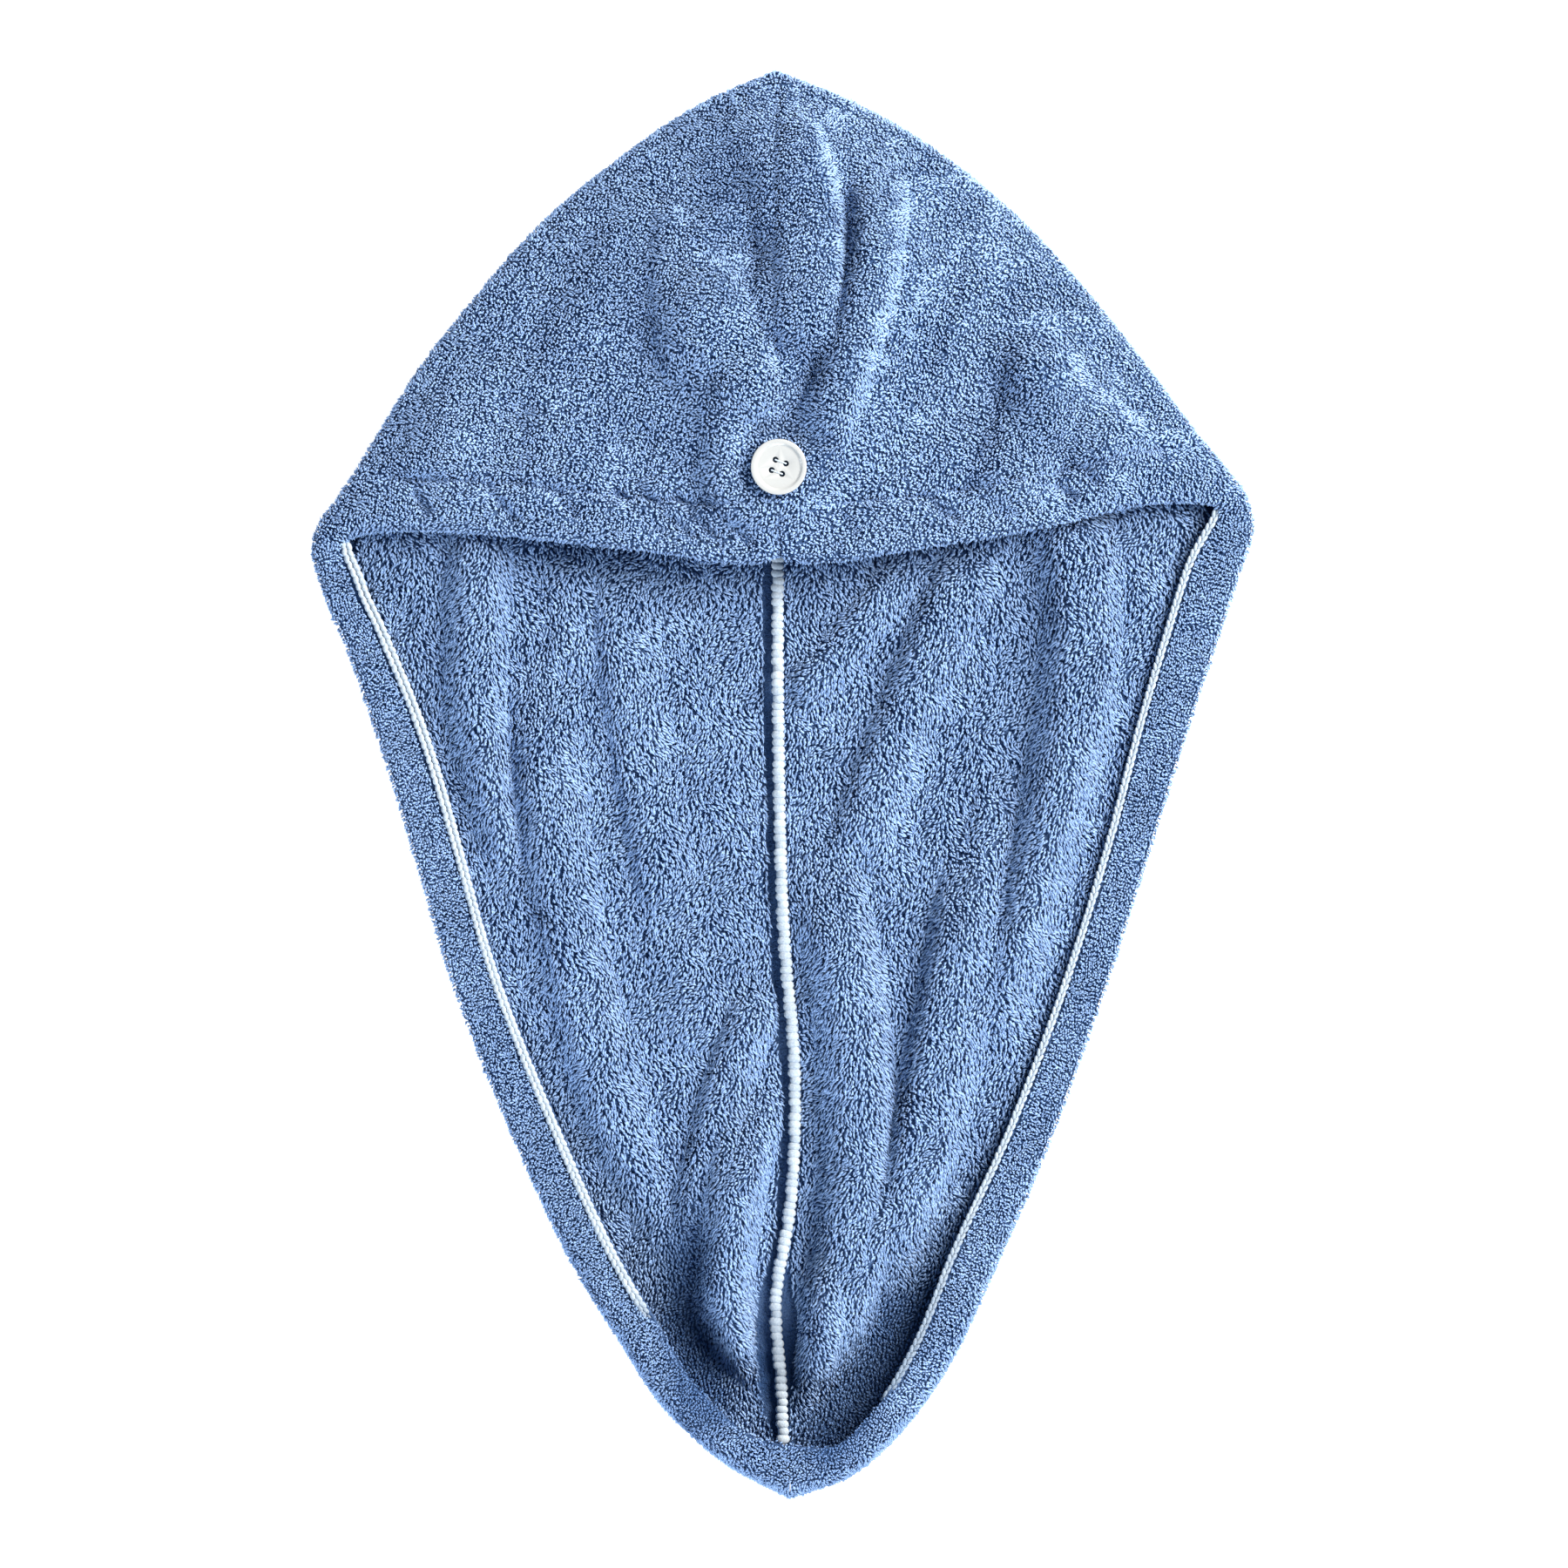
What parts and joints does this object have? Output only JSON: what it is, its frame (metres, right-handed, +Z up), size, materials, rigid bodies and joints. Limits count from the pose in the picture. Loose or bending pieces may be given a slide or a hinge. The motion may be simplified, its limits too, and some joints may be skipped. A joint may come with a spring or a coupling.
{
  "type": "hair turban towel",
  "caption": "Fleece hair turban towel laid flat: an open hood with a doubled hem and a button, tapering to a tail, with white overlocked seams inside.",
  "frame": {"origin": "middle of the towel's outline, on the surface that it lies on", "axes": "+Y towards the hood's peak, +X towards the right-hand corner seen from above, +Z up, out of the side that shows the hood and the opening"},
  "size_m": [0.43, 0.65, 0.0494],
  "materials": {
    "blue_fleece": "deep matt pile of curled fleece",
    "white_overlock": "matt overlock thread",
    "white_button": "polished"
  },
  "bodies": {
    "root": {"left_panel": "blue_fleece", "right_panel": "blue_fleece", "seam_edging": "white_overlock", "left_hem_edging": "white_overlock", "right_hem_edging": "white_overlock", "button": "white_button", "button_thread": "white_overlock"}
  },
  "joints": []
}
